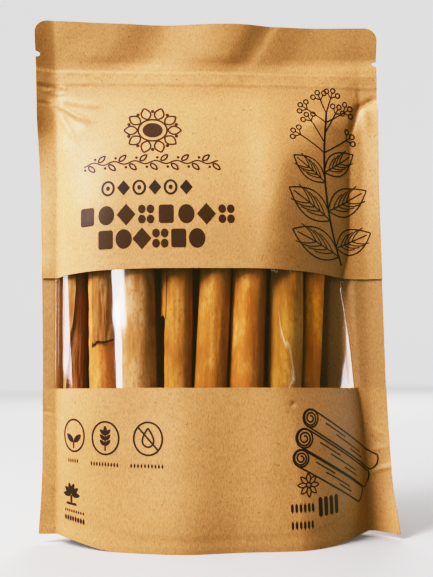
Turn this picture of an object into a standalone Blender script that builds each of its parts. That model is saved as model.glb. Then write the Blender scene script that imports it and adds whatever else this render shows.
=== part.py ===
"""A shut kraft paper stand-up pouch with a clear window band, full of cinnamon sticks.

Metres, +Z up, the printed front facing -Y. The pouch stands on the rim of its bottom
gusset at Z = 0, with the origin under the middle of its box. The pieces are the paper
pouch, the film of the window and fifteen rolled quills, one object each.
"""

import math

import bmesh
import bpy

MM = 0.001

# Pouch: two panels sealed at the sides and top, heights measured along the side seal
PANEL_HEIGHT = 234.5
PAPER = 0.5
LEFT_SEAL = -72.0
RIGHT_SEAL = 70.5
TOP_CORNER_RADIUS = 6.5
LEFT_CORNER_RISE = 4.0
RIGHT_CORNER_RISE = 2.0
STEEPEST_WALL = 2.5

# Half depth, edges and lift of the filled panels, each as (height, value)
HALF_DEPTH = (
    (0, 28.5), (30, 25.2), (66, 21.5), (92, 19.8), (118, 18.2), (138, 16.8),
    (162, 12.6), (186, 6.2), (200, 2.4), (212, 1.0), (216, 0.5), (240, 0.5),
)
LEFT_EDGE = (
    (0, 79.0), (14, 78.2), (30, 77.6), (66, 77.5), (120, 78.2), (150, 78.8), (190, 80.1),
    (235, 80.7),
)
RIGHT_EDGE = (
    (0, 79.9), (25, 78.9), (66, 78.4), (120, 78.2), (150, 77.8), (190, 78.4), (235, 79.0),
)
PANEL_LIFT = (
    (0, 0.0), (12, -1.0), (25, -1.6), (66, 1.0), (118, 3.0), (150, 3.0), (200, 0.6),
    (215, 0.0), (240, 0.0),
)

# Flanks: how far from its seal a panel takes to reach its full depth. The left one has
# a long round shoulder, the right one's width changes up the panel
STEEP_SHARE = 0.7
STEEP_WIDTH = 36.0
STEEP_WIDENING = 24.0
SHOULDER_WIDTH = 84.0
LEFT_SOFT = 4.0
RIGHT_FLANK = (
    (0, 35), (40, 36), (66, 41), (100, 42), (131, 42), (150, 38), (165, 33), (180, 25),
    (188, 18), (196, 13), (240, 13),
)
RIGHT_POWER = 1.65
RIGHT_SOFT = 3.0
GUSSET_REACH = 60.0
LIFT_LEFT_WIDTH = 66.0
LIFT_LEFT_SOFT = 5.0
LIFT_RIGHT_WIDTH = 60.0
LIFT_RIGHT_SOFT = 26.0
RIM_FLAT_LEFT = 30.0
RIM_FLAT_RIGHT = 26.0
CORNER_REACH = 25.0

# Window band, zip and tear notches
WINDOW_LOW = 63.9
WINDOW_HIGH = 113.8
WINDOW_LEFT = -68.5
WINDOW_RIGHT = 61.5
WINDOW_REACH = -40.0
WINDOW_FLOOR = -0.7
FILM = 0.3
FILM_OVERLAP = 3.0
FILM_LEFT = -69.1
FILM_RIGHT = 62.5
FILM_STEPS = 6
FIT_GAP = 0.3
ZIP_LINES = (204.5, 210.0)
ZIP_RIDGE = 0.6
ZIP_HALF_WIDTH = 1.1
LEFT_NOTCH = 218.0
RIGHT_NOTCH = 216.8
NOTCH_DEPTH = 2.0
NOTCH_STRETCH = 4

# Top flap: gentle waves where the two panels lie shut
FLAP_START = 196.0
FLAP_WAVE = 1.4
FLAP_WAVE_LENGTH = 74.0
FLAP_WAVE_CREST = 4.0

# Bottom gusset: its seal follows an arch from the middle up to the side seals
SKIRT = 6.5
ARCH_RISE = 20.0
ARCH_POWER = 5
GUSSET_WALL = 1.0
GUSSET_LEFT = -66.0
GUSSET_RIGHT = 62.0
GUSSET_CUTS = (-0.4, 0.25, 1.0)

# Hollow of the filled part: its ends, its top under the zip and its rows
HOLLOW_LEFT = -70.6
HOLLOW_RIGHT = 64.5
HOLLOW_TOP = 199.0
HOLLOW_STEPS = 22

# Columns across the panels as places between the seals, and rows up them as heights
COLUMNS = (
    -72.0, -70.0, -67.5, -64.0, -59.0, -52.0, -43.0, -32.0, -19.0, -6.0, 7.0, 20.0,
    31.0, 40.0, 48.0, 55.0, 61.0, 66.5, 70.5,
)
ROWS = (
    0, 3, 9, 18, 30, 44, 56, 63.9, 74, 85, 96, 106, 113.8, 122, 132, 142, 152, 162, 172,
    182, 191, 199, 203.4, 204.5, 205.6, 208.9, 210.0, 211.1, 216, 222, 228, 231, 233,
)

# Cinnamon quills: rolled bark, standing on the gusset and leaning on the window
BARK = 1.1
ROLL_GAP = 0.45
LOW_LEVEL = 69.0
HIGH_LEVEL = 118.0
MIDDLE_LEVEL = 92.0
QUILL_RINGS = 6
RING_STEP = math.radians(26)
THINNING = 0.012
THINNING_STEP = 2.1

# name, radius, x at the foot, at the low and the high level, y in the middle, lean,
# angle where the outer edge of the bark starts, turns of the roll, length
QUILLS = (
    ("quill_front_1", 5.7, -61.8, -62.8, -62.2, 0.2, 0.00, -76, -0.80, 112.0),
    ("quill_front_2", 6.6, -50.0, -49.9, -50.8, -5.8, 0.05, -150, 1.35, 124.0),
    ("quill_front_3", 9.0, -33.6, -33.3, -34.4, -8.2, 0.07, 75, 1.45, 124.0),
    ("quill_front_4", 6.7, -16.8, -16.5, -15.4, -9.6, 0.06, -160, 1.40, 122.0),
    ("quill_front_5", 8.0, -2.4, -2.0, 1.2, -10.8, 0.07, 80, 1.45, 126.0),
    ("quill_front_6", 8.4, 13.5, 13.7, 16.8, -10.5, 0.07, 110, 1.45, 124.0),
    ("quill_front_7", 8.4, 30.0, 31.0, 33.6, -8.6, 0.066, 95, 1.45, 121.0),
    ("quill_front_8", 5.4, 42.4, 43.6, 47.2, -2.6, 0.00, 75, 1.35, 118.0),
    ("quill_back_1", 4.2, -24.4, -24.4, -24.8, 3.8, 0.00, 140, 1.25, 118.0),
    ("quill_back_2", 4.6, -54.0, -54.6, -55.0, 8.0, -0.02, 60, 1.25, 98.0),
    ("quill_back_3", 6.0, -41.5, -42.0, -43.0, 7.6, -0.01, 10, 1.35, 120.0),
    ("quill_back_4", 5.8, -11.0, -10.5, -9.0, 6.2, -0.01, 160, 1.35, 120.0),
    ("quill_back_5", 5.6, 5.6, 6.4, 8.6, 7.0, -0.01, 30, 1.35, 118.0),
    ("quill_back_6", 5.6, 21.5, 22.4, 24.6, 7.0, -0.01, 100, 1.35, 118.0),
    ("quill_back_7", 4.4, 34.0, 34.5, 36.0, 9.2, -0.03, 50, 1.25, 104.0),
)

KRAFT_COLOUR = (0.62, 0.42, 0.21, 1.0)
FILM_COLOUR = (0.90, 0.90, 0.92, 1.0)
BARK_COLOUR = (0.45, 0.20, 0.06, 1.0)


def smooth_step(low, high, value):
    share = min(max((value - low) / (high - low), 0.0), 1.0)
    return share * share * (3.0 - 2.0 * share)


def smooth_table(table, at):
    """A value read from a table of (place, value) on a curve that never overshoots."""
    at = min(max(at, table[0][0]), table[-1][0])
    slopes = [(b[1] - a[1]) / (b[0] - a[0]) for a, b in zip(table, table[1:])]
    i = next(k for k in range(len(slopes)) if at <= table[k + 1][0])
    start = tangent(slopes, i)
    end = tangent(slopes, i + 1)
    span = table[i + 1][0] - table[i][0]
    t = (at - table[i][0]) / span
    return (
        table[i][1] * (1 + 2 * t) * (1 - t) ** 2
        + start * span * t * (1 - t) ** 2
        + table[i + 1][1] * t * t * (3 - 2 * t)
        + end * span * t * t * (t - 1)
    )


def tangent(slopes, i):
    """The slope at a point of the table: none at a turn or at an end."""
    if i == 0 or i == len(slopes) or slopes[i - 1] * slopes[i] <= 0:
        return 0.0
    return 2.0 * slopes[i - 1] * slopes[i] / (slopes[i - 1] + slopes[i])


def low_share(v):
    """One at the rim, falling to none above the gusset."""
    return 1.0 - smooth_step(0, GUSSET_REACH, v)


def climb(distance, width, power):
    """From none at the seal to one, levelling off at the width."""
    return 1.0 - (1.0 - min(max(distance / width, 0.0), 1.0)) ** power


def right_flank(x, v):
    far = RIGHT_SEAL - x
    rise = climb(far, smooth_table(RIGHT_FLANK, v), RIGHT_POWER)
    return rise * smooth_step(0, RIGHT_SOFT, far)


def left_flank(x, v):
    steep = climb(x - LEFT_SEAL, STEEP_WIDTH + STEEP_WIDENING * low_share(v), 3)
    shoulder = climb(x - LEFT_SEAL, SHOULDER_WIDTH, 2)
    mixed = STEEP_SHARE * steep + (1.0 - STEEP_SHARE) * shoulder
    return mixed * smooth_step(0, LEFT_SOFT, x - LEFT_SEAL)


def fullness(x, v):
    """How far the panel stands out at a place, from none at the seals to one."""
    return left_flank(x, v) * right_flank(x, v)


def rim_share(x):
    """One along the flat middle of the rim, none at its two corners."""
    left = smooth_step(0, RIM_FLAT_LEFT, x - LEFT_SEAL)
    return left * smooth_step(0, RIM_FLAT_RIGHT, RIGHT_SEAL - x)


def zip_relief(v):
    return sum(max(0.0, 1.0 - abs(v - line) / ZIP_HALF_WIDTH) for line in ZIP_LINES)


def half_depth(x, v):
    """From the plane of the seals to the outside of a panel."""
    bulge = (smooth_table(HALF_DEPTH, v) - PAPER) * fullness(x, v)
    return PAPER + bulge + ZIP_RIDGE * zip_relief(v)


def inner_depth(x, v, inset):
    """The half depth less an inset measured square to the wall."""
    across = half_depth(x + 0.5, v) - half_depth(x - 0.5, v)
    along = half_depth(x, v + 0.5) - half_depth(x, v - 0.5)
    return half_depth(x, v) - inset * min(math.hypot(1, across, along), STEEPEST_WALL)


def flap_wave(x, v):
    """How far the flap bends out of the plane of the seals, towards the back."""
    share = smooth_step(FLAP_START, PANEL_HEIGHT, v)
    return -FLAP_WAVE * share * math.cos(2 * math.pi * (x - FLAP_WAVE_CREST) / FLAP_WAVE_LENGTH)


def lift_share(x):
    """How much of its lift a panel has at a place between its seals."""
    left = climb(x - LEFT_SEAL, LIFT_LEFT_WIDTH, 3) * smooth_step(0, LIFT_LEFT_SOFT, x - LEFT_SEAL)
    right = climb(RIGHT_SEAL - x, LIFT_RIGHT_WIDTH, 2)
    return left * right * smooth_step(0, LIFT_RIGHT_SOFT, RIGHT_SEAL - x)


def height(x, v):
    """The Z of a place on a panel, with the corners of the rim raised."""
    along = min(max((x - LEFT_SEAL) / (RIGHT_SEAL - LEFT_SEAL), 0.0), 1.0)
    rise = LEFT_CORNER_RISE + (RIGHT_CORNER_RISE - LEFT_CORNER_RISE) * along
    flat = (1.0 - smooth_step(0, CORNER_REACH, v)) * rim_share(x)
    return v + rise * (1.0 - flat) + smooth_table(PANEL_LIFT, v) * lift_share(x)


def corner_cut(v):
    """How far the rounded top corner draws the edge in."""
    over = max(v - (PANEL_HEIGHT - TOP_CORNER_RADIUS), 0.0)
    return TOP_CORNER_RADIUS - math.sqrt(TOP_CORNER_RADIUS ** 2 - over ** 2)


def arch(x):
    """The height of the gusset's seal above the rim."""
    return SKIRT + ARCH_RISE * abs(x / LEFT_SEAL) ** ARCH_POWER


def floor_height(x):
    """The Z of the gusset's upper side."""
    return height(x, arch(x) + GUSSET_WALL)


def make_material(name, colour, roughness, metallic=0.0, alpha=1.0):
    material = bpy.data.materials.new(name)
    material.use_nodes = True
    shader = material.node_tree.nodes["Principled BSDF"]
    shader.inputs["Base Color"].default_value = colour
    shader.inputs["Roughness"].default_value = roughness
    shader.inputs["Metallic"].default_value = metallic
    shader.inputs["Alpha"].default_value = alpha
    material.diffuse_color = colour
    return material


def mesh_object(name, points, faces, collection, material=None):
    """An object from points in millimetres, its faces turned outwards."""
    mesh = bpy.data.meshes.new(name)
    mesh.from_pydata([[c * MM for c in point] for point in points], [], faces)
    bm = bmesh.new()
    bm.from_mesh(mesh)
    bmesh.ops.recalc_face_normals(bm, faces=bm.faces)
    bm.to_mesh(mesh)
    bm.free()
    mesh.shade_smooth()
    mesh.set_sharp_from_angle(angle=math.radians(40))
    obj = bpy.data.objects.new(name, mesh)
    collection.objects.link(obj)
    if material:
        mesh.materials.append(material)
    return obj


def two_sided(name, grid, collection, material=None):
    """A closed solid from rows of (x, front y, back y, z), its two sides joined all round."""
    rows = len(grid)
    columns = len(grid[0])
    points = [(x, front, z) for row in grid for x, front, back, z in row]
    points += [(x, back, z) for row in grid for x, front, back, z in row]
    behind = rows * columns

    def at(r, c):
        return r * columns + c

    faces = []
    for r in range(rows - 1):
        for c in range(columns - 1):
            quad = [at(r, c), at(r, c + 1), at(r + 1, c + 1), at(r + 1, c)]
            faces.append(quad)
            faces.append([behind + k for k in reversed(quad)])
    border = [at(0, c) for c in range(columns - 1)]
    border += [at(r, columns - 1) for r in range(rows - 1)]
    border += [at(rows - 1, c) for c in range(columns - 1, 0, -1)]
    border += [at(r, 0) for r in range(rows - 1, 0, -1)]
    for a, b in zip(border, border[1:] + border[:1]):
        faces.append([a, behind + a, behind + b, b])
    return mesh_object(name, points, faces, collection, material)


def make_pouch_body(collection, material):
    """The pouch's outside, as a full solid."""
    grid = []
    for v in (*ROWS, PANEL_HEIGHT):
        left = -smooth_table(LEFT_EDGE, v) + corner_cut(v)
        right = smooth_table(RIGHT_EDGE, v) - corner_cut(v)
        row = []
        for x in (left, *COLUMNS, right):
            depth = half_depth(x, v)
            bend = flap_wave(x, v)
            row.append((x, bend - depth, bend + depth, height(x, v)))
        grid.append(row)
    return two_sided("kraft_pouch", grid, collection, material)


def make_hollow(collection):
    """The space inside the pouch, from the gusset's floor to the zip."""
    grid = []
    for i in range(HOLLOW_STEPS + 1):
        row = []
        for x in (HOLLOW_LEFT, *COLUMNS[2:-2], HOLLOW_RIGHT):
            low = arch(x) + GUSSET_WALL
            v = low + (HOLLOW_TOP - low) * i / HOLLOW_STEPS
            depth = max(inner_depth(x, v, PAPER), FIT_GAP)
            row.append((x, -depth, depth, height(x, v)))
        grid.append(row)
    return two_sided("pouch_hollow", grid, collection)


def make_gusset_hollow(collection):
    """The space under the gusset, between the two skirts."""
    columns = [x for x in COLUMNS if GUSSET_LEFT < x < GUSSET_RIGHT]
    grid = []
    for share in GUSSET_CUTS:
        row = []
        for x in columns:
            v = share * arch(x)
            depth = inner_depth(x, max(v, 0.0), 2 * PAPER)
            row.append((x, -depth, depth, height(x, max(v, 0.0)) + min(v, 0.0)))
        grid.append(row)
    return two_sided("gusset_hollow", grid, collection)


def window_columns(left, right):
    return (left, *[x for x in COLUMNS if left + 1 < x < right - 1], right)


def make_window_cutter(collection):
    columns = window_columns(WINDOW_LEFT, WINDOW_RIGHT)
    grid = []
    for v in (WINDOW_LOW, WINDOW_HIGH):
        grid.append([(x, WINDOW_REACH, WINDOW_FLOOR, height(x, v)) for x in columns])
    return two_sided("window_opening", grid, collection)


def make_notch(name, x, v, collection):
    """A square bar on its corner, which cuts a V into the edge."""
    side = NOTCH_DEPTH * math.sqrt(2) * MM
    bpy.ops.mesh.primitive_cube_add(size=side, location=(x * MM, 0, height(x, v) * MM))
    notch = bpy.context.object
    notch.name = name
    notch.rotation_euler.y = math.radians(45)
    notch.scale.y = NOTCH_STRETCH
    bpy.context.collection.objects.unlink(notch)
    collection.objects.link(notch)
    return notch


def cut(obj, cutter):
    cutter.hide_render = True
    cutter.display_type = "WIRE"
    boolean = obj.modifiers.new(cutter.name, "BOOLEAN")
    boolean.operation = "DIFFERENCE"
    boolean.object = cutter


def make_film(collection, material):
    """The clear film, held behind the edges of the opening."""
    low = WINDOW_LOW - FILM_OVERLAP
    high = WINDOW_HIGH + FILM_OVERLAP
    columns = window_columns(FILM_LEFT, FILM_RIGHT)
    grid = []
    for i in range(FILM_STEPS + 1):
        v = low + (high - low) * i / FILM_STEPS
        row = []
        for x in columns:
            front = -inner_depth(x, v, PAPER + FIT_GAP)
            back = -inner_depth(x, v, PAPER + FIT_GAP + FILM)
            row.append((x, front, back, height(x, v)))
        grid.append(row)
    return two_sided("window_film", grid, collection, material)


def quill_centre(foot_x, low_x, high_x, middle_y, lean, z, foot):
    """The middle of a quill at a height. It bends a little outside the window."""
    slope = (high_x - low_x) / (HIGH_LEVEL - LOW_LEVEL)
    if z < LOW_LEVEL:
        x = foot_x + (low_x - foot_x) * smooth_step(foot, LOW_LEVEL, z)
    else:
        x = low_x + slope * (min(z, HIGH_LEVEL) - LOW_LEVEL)
    return x, middle_y + lean * (z - MIDDLE_LEVEL)


def make_quill(spec, collection, material):
    """Bark rolled up from one edge: a spiral strip, drawn out along the quill."""
    name, radius, foot_x, low_x, high_x, middle_y, lean, start, turns, length = spec
    foot = max(floor_height(foot_x + side * radius) for side in (-1, 0, 1)) + 2 * FIT_GAP
    steps = max(8, round(abs(turns) * 2 * math.pi / RING_STEP))
    pitch = BARK + ROLL_GAP
    points = []
    for ring in range(QUILL_RINGS):
        z = foot + length * ring / (QUILL_RINGS - 1)
        x, y = quill_centre(foot_x, low_x, high_x, middle_y, lean, z, foot)
        swell = 1.0 - THINNING * (1 + math.sin(THINNING_STEP * ring + radius + start))
        outer = []
        inner = []
        for i in range(steps + 1):
            turn = turns * i / steps
            angle = math.radians(start) + 2 * math.pi * turn
            reach = swell * (radius - pitch * abs(turn))
            for path, r in ((outer, reach), (inner, reach - BARK * swell)):
                path.append((x + r * math.cos(angle), y + r * math.sin(angle), z))
        points += outer + inner[::-1]
    loop = 2 * (steps + 1)
    faces = []
    for ring in range(QUILL_RINGS - 1):
        for k in range(loop):
            after = (k + 1) % loop
            low = ring * loop
            faces.append([low + k, low + after, low + loop + after, low + loop + k])
    for first in (0, (QUILL_RINGS - 1) * loop):
        for k in range(steps):
            faces.append([first + k, first + k + 1, first + loop - 2 - k, first + loop - 1 - k])
    return mesh_object(name, points, faces, collection, material)


def clear_scene():
    for obj in list(bpy.data.objects):
        bpy.data.objects.remove(obj, do_unlink=True)


def make_collection(name):
    collection = bpy.data.collections.new(name)
    bpy.context.scene.collection.children.link(collection)
    return collection


def main():
    clear_scene()
    parts = make_collection("cinnamon_stick_pouch")
    cutters = make_collection("cutters")
    kraft = make_material("kraft_paper", KRAFT_COLOUR, 0.75)
    film = make_material("clear_film", FILM_COLOUR, 0.12, alpha=0.25)
    bark = make_material("cinnamon_bark", BARK_COLOUR, 0.8)

    pouch = make_pouch_body(parts, kraft)
    cut(pouch, make_hollow(cutters))
    cut(pouch, make_gusset_hollow(cutters))
    cut(pouch, make_window_cutter(cutters))
    left = -smooth_table(LEFT_EDGE, LEFT_NOTCH)
    right = smooth_table(RIGHT_EDGE, RIGHT_NOTCH)
    cut(pouch, make_notch("left_notch", left, LEFT_NOTCH, cutters))
    cut(pouch, make_notch("right_notch", right, RIGHT_NOTCH, cutters))
    make_film(parts, film)
    for spec in QUILLS:
        make_quill(spec, parts, bark)


main()
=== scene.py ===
"""The looks of a kraft stand-up pouch of cinnamon sticks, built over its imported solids.

Lengths are millimetres until a mesh is made, and metres in the studio. A place on a panel
is (x, v): x is the distance from the pouch's middle and v the height along its side seal.
"""

import math
from collections import namedtuple

import bpy
import numpy as np
from mathutils import Matrix, Quaternion, Vector


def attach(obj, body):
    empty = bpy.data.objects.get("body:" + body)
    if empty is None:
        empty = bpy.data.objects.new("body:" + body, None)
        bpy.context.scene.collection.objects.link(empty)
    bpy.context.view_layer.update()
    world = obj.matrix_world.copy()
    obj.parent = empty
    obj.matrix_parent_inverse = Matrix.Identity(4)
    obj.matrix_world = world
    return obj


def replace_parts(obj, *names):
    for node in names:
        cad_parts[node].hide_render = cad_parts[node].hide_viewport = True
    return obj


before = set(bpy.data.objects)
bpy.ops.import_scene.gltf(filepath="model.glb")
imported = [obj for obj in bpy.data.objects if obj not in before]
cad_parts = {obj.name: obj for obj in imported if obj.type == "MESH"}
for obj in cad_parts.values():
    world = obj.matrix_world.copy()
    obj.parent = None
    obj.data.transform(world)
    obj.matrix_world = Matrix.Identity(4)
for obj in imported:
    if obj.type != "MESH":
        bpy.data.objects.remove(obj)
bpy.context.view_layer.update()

MM = 0.001

# The pouch's form, the same as its solids. A table holds (v, value) and is read on a curve
PANEL_HEIGHT = 234.5
LEFT_SEAL = -72.0
RIGHT_SEAL = 70.5
TOP_CORNER_RADIUS = 6.5
LEFT_CORNER_RISE = 4.0
RIGHT_CORNER_RISE = 2.0
HALF_DEPTH = (
    (0, 28.5), (30, 25.2), (66, 21.5), (92, 19.8), (118, 18.2), (138, 16.8),
    (162, 12.6), (186, 6.2), (200, 2.4), (212, 1.0), (216, 0.5), (240, 0.5),
)
SEAM = 0.5
LEFT_EDGE = (
    (0, 79.0), (14, 78.2), (30, 77.6), (66, 77.5), (120, 78.2), (150, 78.8), (190, 80.1),
    (235, 80.7),
)
RIGHT_EDGE = (
    (0, 79.9), (25, 78.9), (66, 78.4), (120, 78.2), (150, 77.8), (190, 78.4), (235, 79.0),
)
PANEL_LIFT = (
    (0, 0.0), (12, -1.0), (25, -1.6), (66, 1.0), (118, 3.0), (150, 3.0), (200, 0.6),
    (215, 0.0), (240, 0.0),
)
STEEP_SHARE = 0.7
STEEP_WIDTH = 36.0
STEEP_WIDENING = 24.0
STEEP_POWER = 3
SHOULDER_WIDTH = 84.0
SHOULDER_POWER = 2
LEFT_SOFT = 4.0
RIGHT_FLANK = (
    (0, 35), (40, 36), (66, 41), (100, 42), (131, 42), (150, 38), (165, 33), (180, 25),
    (188, 18), (196, 13), (240, 13),
)
RIGHT_POWER = 1.65
GUSSET_REACH = 60.0
LIFT_LEFT_WIDTH = 66.0
LIFT_LEFT_SOFT = 5.0
LIFT_LEFT_POWER = 3
LIFT_RIGHT_WIDTH = 60.0
LIFT_RIGHT_SOFT = 26.0
LIFT_RIGHT_POWER = 2
RIM_FLAT_LEFT = 30.0
RIM_FLAT_RIGHT = 26.0
CORNER_REACH = 25.0
WINDOW_LOW = 63.9
WINDOW_HIGH = 113.8
FLAP_START = 196.0
FLAP_WAVE = 1.4
FLAP_WAVE_LENGTH = 74.0
FLAP_WAVE_CREST = 4.0
LEFT_NOTCH = 218.0
RIGHT_NOTCH = 216.8
SKIRT = 6.5
ARCH_RISE = 20.0
ARCH_POWER = 5

# From which x on the two panels lie on each other beside the right seal, in the front
# panel's form and in the back panel's
RIGHT_REST = (
    (0, 68.8), (30, 68.6), (45, 68.0), (58, 66.8), (66, 65.4), (82, 64.0), (98, 62.0), (112, 60.2),
    (118, 61.2), (126, 63.2), (140, 64.2), (165, 65.0), (180, 66.0), (190, 69.0), (196, 70.5),
    (240, 70.5),
)
BACK_REST = (
    (0, 68.8), (45, 68.0), (70, 66.2), (110, 65.0), (165, 65.2), (180, 66.4), (190, 69.0),
    (196, 70.5), (240, 70.5),
)
REST_SOFT = 1.3

# How far the side seals' outer edges bend forward
LEFT_SEAL_BEND = (
    (0, -0.5), (50, -1.0), (62, 0.0), (114, 0.0), (126, -1.3), (150, -1.3), (165, -0.5),
    (178, 1.2), (190, 3.4), (203, 3.3), (214, 3.1), (235, 3.0),
)
RIGHT_SEAL_BEND = (
    (0, 9.0), (20, 4.6), (40, 3.0), (60, 1.8), (120, 1.8), (150, 2.8), (180, 2.8), (193, 3.0),
    (199, 0.8), (206, 0.6), (235, 0.8),
)
SEAL_BEND_WIDTH = 8.0
SEAL_BEND_POWER = 1.3
SEAL_BEND_MOST = 1.2

# The flap above the zip: (x, value) of its slanted folds, and how it leans forward
FLAP_FOLDS = (
    (-90, 0.0), (-74, 0.0), (-53, 0.8), (-31, -0.9), (-27, -0.8), (3, 1.1), (15.5, -0.1),
    (20, 0.2), (25, 0.0), (36, -1.0), (55, -1.9), (80, -2.7), (90, -2.8),
)
FLAP_SLANT = 0.55
FLAP_FOOT = 210.5
FLAP_FOLD_FADE = 9.0
FLAP_LEAN = 0.185
FLAP_LEAN_SOFT = 3.0
FLAP_DROP = 0.45

# Relief of the front paper. A crease: (x, v) of both its ends, its width and its rise
FRONT_CREASES = (
    (-73.0, 195.6, -57.0, 185.0, 1.3, 0.95),
    (-72.6, 194.6, -63.0, 177.0, 1.5, 0.75),
    (-71.8, 197.0, -52.0, 192.5, 1.7, 0.60),
    (-71.0, 193.6, -60.0, 183.0, 0.9, -0.45),
    (-79.8, 195.2, -73.0, 194.8, 0.5, -0.35),
    (-80.0, 203.0, -74.0, 202.4, 0.5, -0.30),
    (-75.0, 200.2, -68.0, 199.2, 0.6, 0.35),
    (-72.5, 203.0, -68.5, 200.8, 0.5, -0.35),
    (-70.5, 203.4, -66.5, 202.2, 0.5, 0.35),
    (-77.5, 200.6, -72.5, 201.6, 0.5, 0.30),
    (77.8, 198.8, 68.8, 194.2, 1.7, -0.95),
    (69.4, 195.2, 65.8, 183.0, 1.6, -0.75),
    (68.4, 203.4, 67.9, 200.6, 0.6, 0.16),
    (-77.8, 53.8, -71.0, 53.2, 0.5, -0.25),
    (66.5, 40.0, 71.5, 28.0, 1.0, 0.40),
    (71.2, 46.0, 76.5, 42.5, 0.6, 0.35),
    (70.8, 41.5, 75.0, 39.0, 0.6, -0.35),
    (71.0, 36.0, 77.5, 37.2, 0.6, 0.30),
    (70.5, 26.0, 80.5, 29.5, 0.9, 0.55),
    (-79.0, 27.0, -72.0, 19.0, 1.0, 0.35),
)
# A bump: (x, v) of its middle, its width, height, turn in degrees and rise
FRONT_BUMPS = (
    (-13.0, 22.0, 17.0, 42.0, 0, 3.6),
    (28.0, 158.0, 10.0, 34.0, 0, 1.9),
    (24.0, 28.0, 12.0, 40.0, 0, 1.2),
    (32.6, 57.2, 1.1, 0.8, 20, -0.60),
    (-63.0, 176.0, 6.0, 14.0, -20, 0.5),
    (72.6, 189.5, 2.4, 6.0, 8, 0.8),
    (57.0, 192.0, 10.0, 5.5, -10, -1.4),
)

# The zip's raised band, and the ridges along its two edges
ZIP_LOW = 204.5
ZIP_HIGH = 210.0
ZIP_SLOPE_OUT = 1.2
ZIP_SLOPE_IN = 0.4
ZIP_RISE = 0.22
ZIP_RIDGE_RISE = 0.11
ZIP_RIDGE_WIDTH = 0.55

# How much lower the paper lies below the gusset's seal, fading out at the rim
PRESSED = 0.13
PRESSED_SOFT = 1.3
PRESSED_FADE = (2.0, 5.0)

# Waves: rise, length across and up, seed and shift. Broad ones fade out at the seals
ZIP_LUMPS = (0.10, 3.1, 2.0, 5)
FRONT_BROAD_WAVES = (0.16, 17.0, 23.0, 11, 3)
FRONT_FINE_WAVES = (0.035, 3.7, 4.1, 12)
BACK_BROAD_WAVES = (0.35, 21.0, 33.0, 21, 7)
BACK_FINE_WAVES = (0.04, 4.3, 4.9, 22)
CALM_WIDTH = 10.0

# The film's upright wrinkles: (x, value) of how strong they are, and the waves they are
# made of. The tucks slant across one stick
FILM_SLACK = (
    (-66, 0.0), (-58, 0.7), (-52, 0.6), (-46, 0.2), (-36, 0.1), (-24, 0.25), (10, 0.35), (26, 0.6),
    (50, 0.8), (66, 0.5),
)
FILM_SLACK_FADE = 6.0
FILM_SEAL_FADE = 8.0
FILM_RIGHT_MARGIN = 4.0
FILM_SWAY = (2.5, 1.0, 31.0, 31, 4)
FILM_FINE_WAVES = (0.13, 3.3, 42.0, 32)
FILM_BROAD_WAVES = (0.20, 7.9, 70.0, 33)
FILM_TUCKS = (0.035, 1.1, 60.0, 34)
TUCKS_SLANT = 0.17
TUCKS_LEVEL = 90.0
TUCKS_X = 35.0
TUCKS_WIDTH = 5.0

# Sheets: the paper's and the film's thickness, and how the film lies behind the paper
PAPER = 0.28
FILM = 0.08
FILM_BEHIND = 0.32
FILM_OVERLAP = 3.0

# Edges of a panel. Its columns are straight as far as this x and then follow the edge
STRAIGHT = 73.0
EDGE_STEPS = 8
NOTCH_DEPTH = 2.0
NOTCH_HALF = 1.5
NOTCH_ROWS = 9
CORNER_ROWS = 12
LEAST_ROW = 0.09

# The gusset's floor: half its width, its place between the panels and its fold
GUSSET_HALF = 75.0
GUSSET_ROWS = 41
GUSSET_CLEAR = 0.55
GUSSET_LEAST = 0.05
GUSSET_FOLD = 0.9
GUSSET_FOLD_POWER = 1.5
GUSSET_FOLD_DEPTH = 10.0
GUSSET_RAISE = 0.3

# How fine the sheets' meshes are
FRONT_STEP = 0.72
BACK_STEP = 1.4
GUSSET_STEP = 1.2
FILM_ROW = 1.2
FILM_COLUMN = 0.4
NORMAL_STEP = 0.2
SHARP_ANGLE = 50
NOISE_CELLS = 64


def smooth_step(low, high, value):
    share = np.clip((value - low) / (high - low), 0.0, 1.0)
    return share * share * (3.0 - 2.0 * share)


def smooth_table(table, at):
    """Values read from a table of (place, value) on a curve that never overshoots."""
    places, values = np.array(table, float).T
    slopes = np.diff(values) / np.diff(places)
    product = slopes[:-1] * slopes[1:]
    total = np.where(product > 0, slopes[:-1] + slopes[1:], 1.0)
    middle = np.where(product > 0, 2.0 * product / total, 0.0)
    tangents = np.concatenate([[0.0], middle, [0.0]])
    at = np.clip(at, places[0], places[-1])
    i = np.clip(np.searchsorted(places, at) - 1, 0, len(slopes) - 1)
    span = places[i + 1] - places[i]
    t = (at - places[i]) / span
    return (
        values[i] * (1 + 2 * t) * (1 - t) ** 2
        + tangents[i] * span * t * (1 - t) ** 2
        + values[i + 1] * t * t * (3 - 2 * t)
        + tangents[i + 1] * span * t * t * (t - 1)
    )


def climb(distance, width, power):
    """From none at the seal to one, levelling off at the width."""
    return 1.0 - (1.0 - np.clip(distance / width, 0.0, 1.0)) ** power


def right_flank(x, v, rest):
    far = smooth_table(rest, v) - x
    rise = climb(far, smooth_table(RIGHT_FLANK, v), RIGHT_POWER)
    return rise * smooth_step(0, REST_SOFT, far)


def left_flank(x, v):
    width = STEEP_WIDTH + STEEP_WIDENING * (1.0 - smooth_step(0, GUSSET_REACH, v))
    steep = climb(x - LEFT_SEAL, width, STEEP_POWER)
    shoulder = climb(x - LEFT_SEAL, SHOULDER_WIDTH, SHOULDER_POWER)
    mixed = STEEP_SHARE * steep + (1.0 - STEEP_SHARE) * shoulder
    return mixed * smooth_step(0, LEFT_SOFT, x - LEFT_SEAL)


def half_depth(x, v, rest=RIGHT_REST):
    """From the middle of the seals to the outside of a panel, without its relief."""
    share = left_flank(x, v) * right_flank(x, v, rest)
    return SEAM + (smooth_table(HALF_DEPTH, v) - SEAM) * share


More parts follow.
